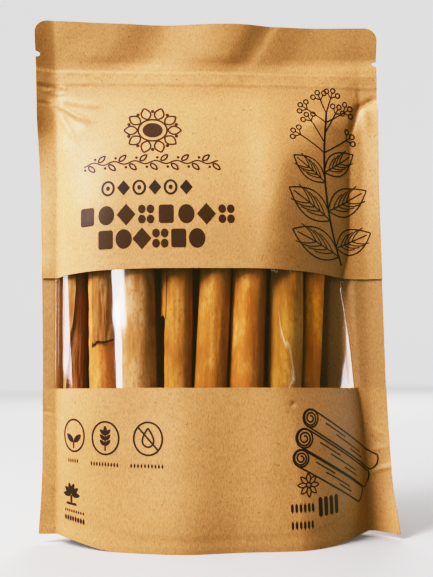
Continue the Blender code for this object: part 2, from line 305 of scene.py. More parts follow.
def lift_share(x):
    """How much of its lift a panel has at a place between its seals."""
    left = climb(x - LEFT_SEAL, LIFT_LEFT_WIDTH, LIFT_LEFT_POWER)
    left = left * smooth_step(0, LIFT_LEFT_SOFT, x - LEFT_SEAL)
    right = climb(RIGHT_SEAL - x, LIFT_RIGHT_WIDTH, LIFT_RIGHT_POWER)
    return left * right * smooth_step(0, LIFT_RIGHT_SOFT, RIGHT_SEAL - x)


def height(x, v):
    """The Z of a place on a panel, with the corners of the rim raised."""
    along = np.clip((x - LEFT_SEAL) / (RIGHT_SEAL - LEFT_SEAL), 0.0, 1.0)
    rise = LEFT_CORNER_RISE + (RIGHT_CORNER_RISE - LEFT_CORNER_RISE) * along
    flat = 1.0 - smooth_step(0, CORNER_REACH, v)
    flat = flat * smooth_step(0, RIM_FLAT_LEFT, x - LEFT_SEAL)
    flat = flat * smooth_step(0, RIM_FLAT_RIGHT, RIGHT_SEAL - x)
    lift = smooth_table(PANEL_LIFT, v) * lift_share(x)
    return v + rise * (1.0 - flat) + lift - FLAP_DROP * flap_lean(v)


def arch(x):
    """The height of the gusset's seal above the rim."""
    return SKIRT + ARCH_RISE * np.abs(x / LEFT_SEAL) ** ARCH_POWER


def flap_folds(x, v):
    """Soft slanted folds above the zip, standing out to the front."""
    share = smooth_step(FLAP_FOOT, FLAP_FOOT + FLAP_FOLD_FADE, v)
    return share * smooth_table(FLAP_FOLDS, x - FLAP_SLANT * (v - FLAP_FOOT))


def flap_lean(v):
    """How far the flap leans to the front above the zip."""
    over = np.maximum(v - FLAP_FOOT, 0.0)
    return FLAP_LEAN * over * over / (over + FLAP_LEAN_SOFT)


def seal_bend(past, table, v):
    """How far a side seal bends forward at a distance past its inner edge."""
    share = np.clip(past / SEAL_BEND_WIDTH, 0.0, SEAL_BEND_MOST) ** SEAL_BEND_POWER
    return share * smooth_table(table, v)


def middle(x, v):
    """The y of the surface midway between the two panels."""
    share = smooth_step(FLAP_START, PANEL_HEIGHT, v)
    wave = np.cos(math.tau * (x - FLAP_WAVE_CREST) / FLAP_WAVE_LENGTH)
    left = seal_bend(LEFT_SEAL - x, LEFT_SEAL_BEND, v)
    right = seal_bend(x - RIGHT_SEAL, RIGHT_SEAL_BEND, v)
    return -FLAP_WAVE * share * wave - left - right - flap_folds(x, v) - flap_lean(v)


def crease(x, v, x0, v0, x1, v1, width, rise):
    """A ridge, or a valley where the rise is negative, along a line that fades out."""
    length = math.hypot(x1 - x0, v1 - v0)
    along = ((x - x0) * (x1 - x0) + (v - v0) * (v1 - v0)) / length ** 2
    across = ((x - x0) * (v1 - v0) - (v - v0) * (x1 - x0)) / length
    fade = smooth_step(-0.2, 0.25, along) * (1.0 - smooth_step(0.75, 1.2, along))
    return rise * fade * np.exp(-((across / width) ** 2))


def bump(x, v, x0, v0, wide, tall, turn, rise):
    """A soft round rise, or a dent where the rise is negative."""
    c = math.cos(math.radians(turn))
    s = math.sin(math.radians(turn))
    a = ((x - x0) * c + (v - v0) * s) / wide
    b = ((v - v0) * c - (x - x0) * s) / tall
    return rise * np.exp(-(a * a + b * b))


def value_noise(x, y, seed):
    """Smooth noise from -1 to 1 over a plane, one cell to a unit."""
    grid = np.random.default_rng(seed).uniform(-1, 1, (NOISE_CELLS, NOISE_CELLS))
    left = np.floor(x).astype(int)
    below = np.floor(y).astype(int)
    fx = smooth_step(0.0, 1.0, x - left)
    fy = smooth_step(0.0, 1.0, y - below)
    columns = [(left + k) % NOISE_CELLS for k in (0, 1)]
    rows = [(below + k) % NOISE_CELLS for k in (0, 1)]
    low, high = (grid[row, columns[0]] * (1 - fx) + grid[row, columns[1]] * fx for row in rows)
    return low * (1 - fy) + high * fy


def waves(x, y, rise, across, up, seed, shift=0.0):
    """Smooth noise of a given rise, with cells of a given size."""
    return rise * value_noise(x / across + shift, y / up, seed)


def paper_waves(x, v, broad, fine):
    """Broad waves that fade out at the side seals, and fine ones all over."""
    calm = smooth_step(0, CALM_WIDTH, np.minimum(x - LEFT_SEAL, RIGHT_SEAL - x))
    return calm * waves(x, v, *broad) + waves(x, v, *fine)


def zip_relief(x, v):
    """The raised band of the press lock, with a ridge along each of its edges."""
    band = smooth_step(ZIP_LOW - ZIP_SLOPE_OUT, ZIP_LOW + ZIP_SLOPE_IN, v)
    band = band - smooth_step(ZIP_HIGH - ZIP_SLOPE_IN, ZIP_HIGH + ZIP_SLOPE_OUT, v)
    ridges = sum(np.exp(-(((v - at) / ZIP_RIDGE_WIDTH) ** 2)) for at in (ZIP_LOW, ZIP_HIGH))
    return (ZIP_RISE + waves(x, v, *ZIP_LUMPS)) * band + ZIP_RIDGE_RISE * ridges


def pressed_relief(x, v):
    """The step down to where the gusset is sealed to a panel."""
    above = smooth_step(-PRESSED_SOFT, PRESSED_SOFT, v - arch(x))
    return PRESSED * (above - 1.0) * smooth_step(*PRESSED_FADE, v)


def front_relief(x, v):
    rise = zip_relief(x, v) + pressed_relief(x, v)
    for spec in FRONT_CREASES:
        rise = rise + crease(x, v, *spec)
    for spec in FRONT_BUMPS:
        rise = rise + bump(x, v, *spec)
    return rise + paper_waves(x, v, FRONT_BROAD_WAVES, FRONT_FINE_WAVES)


def back_relief(x, v):
    rise = zip_relief(x, v) + pressed_relief(x, v)
    return rise + paper_waves(x, v, BACK_BROAD_WAVES, BACK_FINE_WAVES)


def film_relief(x, v):
    """Fine upright wrinkles, strongest over the sticks and none in the seals."""
    room = np.minimum(x - LEFT_SEAL, RIGHT_SEAL - FILM_RIGHT_MARGIN - x)
    swayed = x + waves(0 * x, v, *FILM_SWAY)
    wrinkles = waves(swayed, v, *FILM_FINE_WAVES) + waves(swayed, v, *FILM_BROAD_WAVES)
    slack = smooth_table(FILM_SLACK, x)
    slack = slack * smooth_step(0, FILM_SLACK_FADE, smooth_table(RIGHT_REST, v) - x)
    drift = x + TUCKS_SLANT * (v - TUCKS_LEVEL)
    near = np.exp(-(((drift - TUCKS_X) / TUCKS_WIDTH) ** 2))
    tucks = waves(drift, v, *FILM_TUCKS) * near
    return smooth_step(0, FILM_SEAL_FADE, room) * (slack * wrinkles + tucks)


def front_surface(x, v):
    y = middle(x, v) - half_depth(x, v) - front_relief(x, v)
    return np.stack([x, y, height(x, v)], -1)


def back_surface(x, v):
    y = middle(x, v) + half_depth(x, v, BACK_REST) + back_relief(x, v)
    return np.stack([x, y, height(x, v)], -1)


def film_surface(x, v):
    y = middle(x, v) - half_depth(x, v) - film_relief(x, v)
    return np.stack([x, y, height(x, v)], -1)


def normals(surface, x, v):
    """Unit normals of a surface, towards the front."""
    across = surface(x + NORMAL_STEP, v) - surface(x - NORMAL_STEP, v)
    along = surface(x, v + NORMAL_STEP) - surface(x, v - NORMAL_STEP)
    normal = np.cross(across, along)
    return normal / np.linalg.norm(normal, axis=-1, keepdims=True)


def spaced(low, high, step):
    return np.linspace(low, high, max(2, round(abs(high - low) / step) + 1))


def edges(v):
    """How far the left and the right edge are from the middle."""
    over = np.clip(v - (PANEL_HEIGHT - TOP_CORNER_RADIUS), 0.0, TOP_CORNER_RADIUS)
    corner = TOP_CORNER_RADIUS - np.sqrt(TOP_CORNER_RADIUS ** 2 - over ** 2)
    found = []
    for table, notch in ((LEFT_EDGE, LEFT_NOTCH), (RIGHT_EDGE, RIGHT_NOTCH)):
        bite = NOTCH_DEPTH * np.sqrt(np.clip(1 - ((v - notch) / NOTCH_HALF) ** 2, 0, 1))
        found.append(smooth_table(table, v) - corner - bite)
    return found


def panel_grid(rows, step):
    """x and v over a panel from edge to edge."""
    left, right = edges(rows)
    share = np.linspace(0, 1, EDGE_STEPS + 1)[1:]
    inner = spaced(-STRAIGHT, STRAIGHT, step)
    x = np.concatenate([
        -STRAIGHT - (left[:, None] - STRAIGHT) * share[::-1],
        np.tile(inner, (len(rows), 1)),
        STRAIGHT + (right[:, None] - STRAIGHT) * share,
    ], axis=1)
    return x, np.tile(rows[:, None], (1, x.shape[1]))


def panel_rows(low, high, step):
    """The v of a panel's rows, closer together at its notches and its top corners."""
    rows = [spaced(low, high, step)]
    for notch in (LEFT_NOTCH, RIGHT_NOTCH):
        turn = np.linspace(-math.pi / 2, math.pi / 2, NOTCH_ROWS)
        rows.append(notch + NOTCH_HALF * np.sin(turn))
    over = TOP_CORNER_RADIUS * np.sin(np.linspace(0, math.pi / 2, CORNER_ROWS))
    rows.append(PANEL_HEIGHT - TOP_CORNER_RADIUS + over)
    joined = np.unique(np.round(np.concatenate(rows), 2))
    joined = joined[(joined >= low) & (joined <= high)]
    keep = np.concatenate([[True], np.diff(joined) > LEAST_ROW])
    keep[-1] = True
    return joined[keep]


def grid_faces(rows, columns, ring=False):
    """Quads over a grid of points. A ring joins its last column to its first."""
    r, c = np.meshgrid(np.arange(rows - 1), np.arange(columns - (not ring)), indexing="ij")
    after = (c + 1) % columns
    quads = [r * columns + c, r * columns + after, (r + 1) * columns + after, (r + 1) * columns + c]
    return np.stack(quads, -1).reshape(-1, 4)


def border(rows, columns):
    """The points around a grid, in order."""
    at = np.arange(rows * columns).reshape(rows, columns)
    return np.concatenate([at[0, :-1], at[:-1, -1], at[-1, :0:-1], at[:0:-1, 0]])


def sheet_mesh(front, back):
    """Points and faces of a thin closed sheet from its two grids."""
    rows, columns = front.shape[:2]
    count = rows * columns
    points = np.concatenate([front.reshape(-1, 3), back.reshape(-1, 3)])
    faces = grid_faces(rows, columns)
    around = border(rows, columns)
    after = np.roll(around, -1)
    wall = np.stack([around, around + count, after + count, after], -1)
    return points, np.concatenate([faces, faces[:, ::-1] + count, wall])


def mesh_object(name, points, faces, material):
    """A smooth mesh object from points in metres."""
    mesh = bpy.data.meshes.new(name)
    mesh.from_pydata(points.tolist(), [], faces.tolist())
    mesh.shade_smooth()
    mesh.materials.append(material)
    made = bpy.data.objects.new(name, mesh)
    bpy.context.scene.collection.objects.link(made)
    return made


def add_piece(name, points, faces, material):
    """A mesh piece from millimetres, faces outwards, riding on the pouch."""
    a, b, c, d = (points[faces[:, k]] for k in range(4))
    volume = np.einsum("ij,ij->i", a, np.cross(b, c) + np.cross(c, d)).sum()
    if volume < 0:
        faces = faces[:, ::-1]
    piece = mesh_object(name, points * MM, faces, material)
    piece.data.set_sharp_from_angle(angle=math.radians(SHARP_ANGLE))
    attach(piece, "root")
    return piece


def add_sheet(name, surface, x, v, near, far, material):
    """A closed sheet between two depths behind a surface."""
    outer = surface(x, v)
    normal = normals(surface, x, v)
    points, faces = sheet_mesh(outer - normal * near, outer - normal * far)
    return add_piece(name, points, faces, material)


def set_inputs(node, values):
    """Sets a node's inputs from named values. An underscore stands for a space."""
    for socket, value in values.items():
        node.inputs[socket.replace("_", " ")].default_value = value


class Nodes:
    """A material's node tree with short calls to add to it."""

    def __init__(self, name):
        self.material = bpy.data.materials.new(name)
        self.material.use_nodes = True
        self.tree = self.material.node_tree
        self.shader = self.tree.nodes["Principled BSDF"]
        self.place = self.add("ShaderNodeTexCoord").outputs["Object"]

    def add(self, kind, **values):
        node = self.tree.nodes.new(kind)
        set_inputs(node, values)
        return node

    def link(self, start, end):
        self.tree.links.new(start, end)

    def set(self, **values):
        set_inputs(self.shader, values)

    def noise(self, stretch, detail, turn=(0, 0, 0)):
        """Noise whose cells are about 1 / stretch metres."""
        angles = [math.radians(a) for a in turn]
        mapping = self.add("ShaderNodeMapping", Scale=stretch, Rotation=angles)
        self.link(self.place, mapping.inputs["Vector"])
        texture = self.add("ShaderNodeTexNoise", Scale=1.0, Detail=detail)
        self.link(mapping.outputs["Vector"], texture.inputs["Vector"])
        return texture.outputs["Fac"]

    def ramp(self, value, low, high):
        """Rises from 0 at low to 1 at high, also where low is the larger of the two."""
        ramp = self.add("ShaderNodeValToRGB")
        black, white = ramp.color_ramp.elements
        black.position = min(low, high)
        white.position = max(low, high)
        if low > high:
            black.color, white.color = (1, 1, 1, 1), (0, 0, 0, 1)
        self.link(value, ramp.inputs["Fac"])
        return ramp.outputs["Color"]

    def mix(self, share, first, second):
        mix = self.add("ShaderNodeMix")
        mix.data_type = "RGBA"
        for socket, value in ((0, share), (6, first), (7, second)):
            if isinstance(value, (float, tuple)):
                mix.inputs[socket].default_value = value
            else:
                self.link(value, mix.inputs[socket])
        return mix.outputs[2]

    def colour(self, output):
        self.link(output, self.shader.inputs["Base Color"])

    def bump(self, value, strength, distance):
        node = self.add("ShaderNodeBump", Strength=strength, Distance=distance)
        self.link(value, node.inputs["Height"])
        self.link(node.outputs["Normal"], self.shader.inputs["Normal"])


def shade(colour, factor):
    return (*(c * factor for c in colour[:3]), 1.0)


KRAFT = (0.485, 0.256, 0.111, 1.0)
# Three sets of fibres: their stretch and turn, and the shades of the pale and the dark ones
KRAFT_FIBRES = (
    ((2100, 2100, 800), (0, 25, 0), 1.20, 0.74),
    ((2100, 2100, 700), (0, -50, 10), 1.15, 0.78),
    ((2300, 2300, 900), (0, 100, 0), 1.10, 0.82),
)
DARK_INK = (0.024, 0.0095, 0.013, 1.0)
BROWN_INK = (0.042, 0.013, 0.009, 1.0)
BARK_COLOUR = (0.54, 0.232, 0.056)
BARK_DARK = (0.37, 0.132, 0.024)
BARK_PALE = (0.60, 0.295, 0.092)
PALEST = 0.92


def kraft_material(name):
    """Brown paper: pale and dark fibres, fine specks and faint broad patches."""
    n = Nodes(name)
    patches = n.noise((55, 55, 55), 2)
    base = n.mix(n.ramp(patches, 0.35, 0.65), shade(KRAFT, 0.97), shade(KRAFT, 1.03))
    for stretch, turn, pale, dark in KRAFT_FIBRES:
        fibres = n.noise(stretch, 2, turn)
        base = n.mix(n.ramp(fibres, 0.55, 0.70), base, shade(KRAFT, pale))
        base = n.mix(n.ramp(fibres, 0.44, 0.28), base, shade(KRAFT, dark))
    specks = n.noise((900, 900, 900), 1)
    base = n.mix(n.ramp(specks, 0.70, 0.78), base, shade(KRAFT, 0.55))
    n.colour(base)
    n.set(Roughness=0.52, Specular_IOR_Level=0.35)
    n.bump(n.noise((1300, 1300, 1300), 2), 0.10, 0.0003)
    return n.material


def film_material(name):
    """Clear film: each face mirrors a twentieth of the light and lets the rest through."""
    n = Nodes(name)
    n.set(Base_Color=(0.95, 0.95, 0.97, 1.0), Metallic=1.0, Roughness=0.07, Alpha=0.05)
    return n.material


def ink_material(name, colour):
    n = Nodes(name)
    worn = n.noise((1400, 1400, 1400), 2)
    n.colour(n.mix(n.ramp(worn, 0.35, 0.7), colour, shade(colour, 1.5)))
    n.set(Roughness=0.5, Specular_IOR_Level=0.3)
    return n.material


def tinted(colour, tint):
    return (*(min(PALEST, c * t) for c, t in zip(colour, tint)), 1.0)


def bark_material(name, tint, paleness):
    """Dry bark: lengthwise streaks, pale and dark patches and fine fibres."""
    n = Nodes(name)
    colour, dark, pale = (tinted(c, tint) for c in (BARK_COLOUR, BARK_DARK, BARK_PALE))
    broad = n.noise((190, 190, 18), 3)
    fine = n.noise((1500, 1500, 130), 3)
    hairs = n.noise((2600, 2600, 420), 2)
    patches = n.noise((110, 110, 55), 5)
    mottle = n.noise((800, 800, 420), 4)
    base = n.mix(n.ramp(broad, 0.36, 0.62), dark, colour)
    for noise, none, full, over in (
        (patches, 0.54 - paleness, 0.68 - paleness, pale), (patches, 0.49, 0.30, shade(dark, 0.9)),
        (mottle, 0.50, 0.24, shade(dark, 1.05)), (fine, 0.58, 0.86, pale),
        (fine, 0.44, 0.20, shade(dark, 0.9)), (hairs, 0.36, 0.24, shade(dark, 0.8)),
    ):
        base = n.mix(n.ramp(noise, none, full), base, over)
    n.colour(base)
    n.set(Roughness=0.72, Specular_IOR_Level=0.22)
    n.bump(fine, 0.25, 0.0004)
    return n.material


# Cinnamon quills, as their solids: x at the foot, at the low and at the high level, y at the
# middle level and its lean, the angle where the bark's outer edge starts and its turns
BARK = 1.1
ROLL_GAP = 0.45
FIT_GAP = 0.3
GUSSET_WALL = 1.0
LOW_LEVEL = 69.0
HIGH_LEVEL = 118.0
MIDDLE_LEVEL = 92.0
Quill = namedtuple("Quill", "name radius foot_x low_x high_x middle_y lean start turns length")
QUILLS = tuple(Quill(*row) for row in (
    ("quill_front_1", 5.7, -61.8, -62.8, -62.2, 0.2, 0.00, -76, -0.80, 112.0),
    ("quill_front_2", 6.6, -50.0, -49.9, -50.8, -5.8, 0.05, -150, 1.35, 124.0),
    ("quill_front_3", 9.0, -33.6, -33.3, -34.4, -8.2, 0.07, 75, 1.45, 124.0),
    ("quill_front_4", 6.7, -16.8, -16.5, -15.4, -9.6, 0.06, -160, 1.40, 122.0),
    ("quill_front_5", 8.0, -2.4, -2.0, 1.2, -10.8, 0.07, 80, 1.45, 126.0),
    ("quill_front_6", 8.4, 13.5, 13.7, 16.8, -10.5, 0.07, 110, 1.45, 124.0),
    ("quill_front_7", 8.4, 30.0, 31.0, 33.6, -8.6, 0.066, 95, 1.45, 121.0),
    ("quill_front_8", 5.4, 42.4, 43.6, 47.2, -2.6, 0.00, 75, 1.35, 118.0),
    ("quill_back_1", 4.2, -24.4, -24.4, -24.8, 3.8, 0.00, 140, 1.25, 118.0),
    ("quill_back_2", 4.6, -54.0, -54.6, -55.0, 8.0, -0.02, 60, 1.25, 98.0),
    ("quill_back_3", 6.0, -41.5, -42.0, -43.0, 7.6, -0.01, 10, 1.35, 120.0),
    ("quill_back_4", 5.8, -11.0, -10.5, -9.0, 6.2, -0.01, 160, 1.35, 120.0),
    ("quill_back_5", 5.6, 5.6, 6.4, 8.6, 7.0, -0.01, 30, 1.35, 118.0),
    ("quill_back_6", 5.6, 21.5, 22.4, 24.6, 7.0, -0.01, 100, 1.35, 118.0),
    ("quill_back_7", 4.4, 34.0, 34.5, 36.0, 9.2, -0.03, 50, 1.25, 104.0),
))
# How fine a stick's mesh is: its step upwards and its steps to a turn
FRONT_FINENESS = (1.1, 52)
BACK_FINENESS = (3.0, 24)
# How much a stick thins in waves, and their radians from end to end
SWELL = 0.012
SWELL_WAVES = 10.5
# Layers of rough bark: rise, length around and up, slant and seed
STICK_ROUGH = (
    (0.16, 1.3, 16.0, 0.0, 40), (0.12, 3.1, 30.0, 1 / 60, 60), (0.04, 0.7, 7.0, 0.0, 80),
)
PATCH_ROUGH = ((0.22, 1.1, 7.0, 0.0, 140), (0.12, 0.5, 2.5, 0.0, 150))
INNER_ROUGH = 0.4
# How the open edges fray
FRAY = 0.45
FRAY_LENGTH = 4.0
FRAY_COLUMNS = 2
FRAY_SEED = 100

# How far each stick's bark is tinted from the common colour, and how pale its patches are. The
# tints are partly the bark's own colour and partly painted light, lighter where a stick lies in
# shade
BARK_TINTS_AND_PAINTED_LIGHT = {
    "quill_front_1": ((0.88, 1.0, 1.7), 0.0),
    "quill_front_2": ((1.3, 1.3, 1.6), 0.0),
    "quill_front_3": ((0.90, 1.05, 1.65), 0.05),
    "quill_front_4": ((0.93, 0.97, 1.0), 0.0),
    "quill_front_5": ((0.93, 0.94, 0.9), 0.0),
    "quill_front_6": ((1.06, 1.04, 1.0), 0.0),
    "quill_front_7": ((0.87, 0.97, 0.8), 0.0),
    # The right-hand front stick: painted lighter than its own bark, for the shade it lies in
    "quill_front_8": ((1.75, 1.6, 0.5), 0.0),
}
# The sticks behind: painted lighter than their own bark, as painted light in the shade between the
# front sticks
BARK_BEHIND_PAINTED_LIGHTER = ((1.2, 1.3, 1.8), 0.0)
# A stick whose free edge turns, as degrees added at the low and the high level
OPEN_CURL = {"quill_front_1": (-56.0, -9.0)}

# Further bark: piece and stick, the angles and heights it spans, how much its foot rises to
# the right and how ragged that is, thickness, how far each side stands off, tint, paleness
BARK_PATCHES = (
    ("bark_inner", 0, (-150, -10), (62.0, 122.0), 0.0, 0.0, 0.30, (-1.75, -1.75),
     (0.72, 0.66, 1.0), 0.0),
    ("bark_scale", 1, (-122, -4), (87.0, 128.0), 3.6, 2.0, 0.45, (0.0, 0.0),
     (0.84, 0.92, 1.4), 0.02),
    # A dark band painted as the shade in the crack under the scale's ragged foot
    ("bark_crack", 1, (-126, -34), (86.0, 88.0), 2.9, 2.0, 0.28, (0.0, 0.0),
     (0.15, 0.12, 0.2), 0.0),
    ("bark_curl", 3, (-206, -148), (99.0, 126.0), 0.0, 1.5, 0.45, (2.0, 0.0),
     (0.95, 0.95, 1.0), 0.0),
)
PATCH_TURN_STEP = 2.0
PATCH_STEP = 0.9
PATCH_DEPTH = 0.3
# The two waves of a ragged foot: share, waves to a radian and seed
RAGGED_WAVES = ((1.0, 1.6, 120), (0.3, 7.0, 130))


def quill_foot(quill):
    """The height where a stick stands on the sloping gusset."""
    spots = [quill.foot_x + side * quill.radius for side in (-1, 0, 1)]
    return max(height(x, arch(x) + GUSSET_WALL) for x in spots) + 2 * FIT_GAP


def quill_centre(quill, z):
    """The x and y of a quill's middle: slanted in the window, and bent below it."""
    slope = (quill.high_x - quill.low_x) / (HIGH_LEVEL - LOW_LEVEL)
    bent = smooth_step(quill_foot(quill), LOW_LEVEL, z)
    below = quill.foot_x + (quill.low_x - quill.foot_x) * bent
    above = quill.low_x + slope * (np.minimum(z, HIGH_LEVEL) - LOW_LEVEL)
    y = quill.middle_y + quill.lean * (z - MIDDLE_LEVEL)
    return np.where(z < LOW_LEVEL, below, above), y


def roughness(around, up, layers, index):
    rough = 0.0
    for rise, wide, tall, slant, seed in layers:
        rough = rough + rise * value_noise(around / wide + slant * up, up / tall, seed + index)
    return rough


def make_quill(index, quill, material):
    """Rolled bark: a spiral strip drawn out along the quill, with rough bark on it."""
    radius = quill.radius
    foot = quill_foot(quill)
    front = quill.name.startswith("quill_front")
    step, turn_steps = FRONT_FINENESS if front else BACK_FINENESS
    z = spaced(foot, foot + quill.length, step)
    steps = round(abs(quill.turns) * turn_steps)
    share = np.linspace(0, 1, steps + 1)
    turn = quill.turns * share
    x, y = quill_centre(quill, z)
    wave = np.sin(SWELL_WAVES * (z - foot) / quill.length + radius + quill.start)
    swell = 1.0 - SWELL * (1 + wave)
    low, high = OPEN_CURL.get(quill.name, (0.0, 0.0))
    opening = np.radians(low + (high - low) * smooth_step(LOW_LEVEL, HIGH_LEVEL, z))
    angle = math.radians(quill.start) + math.tau * turn + opening[:, None] * (1 - share)
    reach = radius - (BARK + ROLL_GAP) * np.abs(turn)
    around = np.tile(math.tau * turn * radius, (len(z), 1))
    up = np.tile(z[:, None], (1, len(turn)))
    rough = roughness(around, up, STICK_ROUGH, index)
    at_edge = np.minimum(share, 1 - share) * steps < FRAY_COLUMNS
    fray = FRAY * value_noise(up / FRAY_LENGTH, up * 0 + index, FRAY_SEED + index) * at_edge
    a = angle + fray / radius
    grids = []
    for inset, part in ((0.0, 1.0), (BARK, INNER_ROUGH)):
        r = swell[:, None] * (reach - inset) + part * rough
        grids.append(np.stack([x[:, None] + r * np.cos(a), y[:, None] + r * np.sin(a), up], -1))
    points, faces = sheet_mesh(*grids)
    name = quill.name.replace("quill", "stick")
    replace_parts(add_piece(name, points, faces, material), quill.name)


def make_patches():
    """Flakes and layers of bark on single sticks, and a dark band of painted shade under one
    flake's foot.
    """
    for name, stick, angles, levels, rise, ragged, thick, stand, tint, paleness in BARK_PATCHES:
        quill = QUILLS[stick]
        a = np.radians(spaced(*angles, PATCH_TURN_STEP))
        along = np.linspace(0, 1, len(a))
        low = levels[0] + rise * along
        for share, to_radian, seed in RAGGED_WAVES:
            low = low + share * ragged * value_noise(a * to_radian, a * 0 + 0.5, seed + stick)
        z = low + spaced(0, levels[1] - levels[0], PATCH_STEP)[:, None]
        x, y = quill_centre(quill, z)
        lift = stand[1] + (stand[0] - stand[1]) * (1 - along) ** 2
        rough = roughness(a * quill.radius, z, PATCH_ROUGH, stick)
        grids = []
        for out, share in ((thick, 1.0), (-PATCH_DEPTH, 0.0)):
            r = quill.radius + lift + out + share * rough
            grids.append(np.stack([x + r * np.cos(a), y + r * np.sin(a), z], -1))
        points, faces = sheet_mesh(*grids)
        bark = bark_material(name, tint, paleness)
        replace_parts(add_piece(name, points, faces, bark), quill.name)


def make_pouch(kraft):
    """The paper above and below the window, the back and the gusset."""
    for name, surface, low, high, step, near, far in (
        ("front_upper", front_surface, WINDOW_HIGH, PANEL_HEIGHT, FRONT_STEP, 0.0, PAPER),
        ("front_lower", front_surface, 0, WINDOW_LOW, FRONT_STEP, 0.0, PAPER),
        ("back_panel", back_surface, 0, PANEL_HEIGHT, BACK_STEP, -PAPER, 0.0),
    ):
        x, v = panel_grid(panel_rows(low, high, step), step)
        piece = add_sheet(name, surface, x, v, near, far, kraft)
        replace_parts(piece, "kraft_pouch")
    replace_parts(make_gusset(kraft), "kraft_pouch")


def make_gusset(kraft):
    """The folded floor between the two panels, sealed to them along its arch."""
    x = spaced(-GUSSET_HALF, GUSSET_HALF, GUSSET_STEP)
    share = np.linspace(-1, 1, GUSSET_ROWS)[:, None]
    v = arch(x)
    depth = np.maximum(half_depth(x, v) - GUSSET_CLEAR, GUSSET_LEAST)
    y = middle(x, v) + share * depth
    fold = GUSSET_FOLD * (1 - np.abs(share)) ** GUSSET_FOLD_POWER
    fold = fold * np.clip(depth / GUSSET_FOLD_DEPTH, 0, 1)
    z = height(x, v) + fold + GUSSET_RAISE
    top = np.stack([np.tile(x, (GUSSET_ROWS, 1)), y, z], -1)
    points, faces = sheet_mesh(top, top - [0, 0, PAPER])
    return add_piece("gusset_floor", points, faces, kraft)


def make_film(film):
    rows = spaced(WINDOW_LOW - FILM_OVERLAP, WINDOW_HIGH + FILM_OVERLAP, FILM_ROW)
    x, v = panel_grid(rows, FILM_COLUMN)
    piece = add_sheet(
        "window_sheet", film_surface, x, v, FILM_BEHIND, FILM_BEHIND + FILM, film
    )
    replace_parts(piece, "window_film")


# The print. Each motif is drawn flat in millimetres around its own place on the front
LINE_STEP = 1.0
INK_RISE = 0.06
INK_ROOT = 0.10
PRINT_REACH = 80.0
PRINT_STEP = 0.5
LEAF_BELLY = 0.42


def line(path, width):
    """A drawn line, as a strip of points along a path."""
    path = np.array(path, float)
    lengths = np.concatenate([[0], np.cumsum(np.linalg.norm(np.diff(path, axis=0), axis=1))])
    at = np.linspace(0, lengths[-1], max(3, int(lengths[-1] / LINE_STEP) + 2))
    path = np.stack([np.interp(at, lengths, path[:, k]) for k in (0, 1)], 1)
    along = np.gradient(path, axis=0)
    along /= np.linalg.norm(along, axis=1)[:, None]
    side = np.stack([-along[:, 1], along[:, 0]], 1) * width / 2
    return np.stack([path - side, path + side], 1)


def fill(x, low, high):
    """A filled shape between a lower and an upper edge."""
    cells = max(2, int(np.max(high - low) / LINE_STEP) + 1)
    share = np.linspace(0, 1, cells)
    y = low[:, None] + (high - low)[:, None] * share
    return np.stack([np.tile(x[:, None], (1, cells)), y], -1)


def disc(x, y, wide, tall):
    turn = np.linspace(0.06, math.pi - 0.06, max(9, int(wide * 4)))
    return fill(x - wide * np.cos(turn), y - tall * np.sin(turn), y + tall * np.sin(turn))


def block(x0, y0, x1, y1):
    """A filled bar with cut corners."""
    corner = min(0.3 * (y1 - y0), 0.7)
    x = np.concatenate([[x0], spaced(x0 + corner, x1 - corner, LINE_STEP), [x1]])
    trim = np.where((x == x0) | (x == x1), corner, 0.0)
    return fill(x, y0 + trim, y1 - trim)


def lozenge(x, y, wide, tall):
    at = np.linspace(-0.97, 0.97, 9)
    reach = tall * (1 - np.abs(at))
    return fill(x + wide * at, y - reach, y + reach)


def ring(x, y, wide, tall, width):
    turn = np.linspace(0, math.tau, 49)
    return line(np.stack([x + wide * np.cos(turn), y + tall * np.sin(turn)], 1), width)


def bend(start, control, end):
    """A curve from start to end, drawn towards a control point."""
    t = np.linspace(0, 1, 17)[:, None]
    start, control, end = (np.array(p, float) for p in (start, control, end))
    return (1 - t) ** 2 * start + 2 * t * (1 - t) * control + t * t * end


def toward(start, angle, length):
    a = math.radians(angle)
    return (start[0] + length * math.cos(a), start[1] + length * math.sin(a))


def leaf_sides(base, angle, length, belly):
    """The two sides of a pointed leaf."""
    tip = toward(base, angle, length)
    centre = toward(base, angle, LEAF_BELLY * length)
    return [bend(base, toward(centre, angle + 90 * side, 2 * belly), tip) for side in (-1, 1)]


def leaf(base, angle, length, belly, width, veins=0):
    """A pointed leaf: two sides, a midrib and pairs of veins."""
    shapes = []
    for side, edge in zip((-1, 1), leaf_sides(base, angle, length, belly)):
        shapes.append(line(edge, width))
        for k in range(veins):
            share = 0.14 + 0.5 * k / veins
            root = toward(base, angle, share * length)
            mid = toward(toward(root, angle, 0.16 * length), angle + 90 * side, 0.55 * belly)
            end = toward(toward(root, angle, 0.36 * length), angle + 90 * side, 0.66 * belly)
            shapes.append(line(bend(root, mid, end), width * 0.8))
    if veins:
        shapes.append(line([base, toward(base, angle, 0.9 * length)], width * 0.9))
    return shapes


def solid_leaf(base, angle, length, belly):
    """A small filled leaf."""
    return np.stack([edge[1:-1] for edge in leaf_sides(base, angle, length, belly)], 1)


def scroll(x, y, radius, turns, width):
    """The rolled end of a quill."""
    turn = np.linspace(0, turns, 40)
    reach = radius * (1 - 0.75 * turn / turns)
    a = math.tau * turn + 0.6
    return line(np.stack([x + reach * np.cos(a), y + reach * np.sin(a)], 1), width)


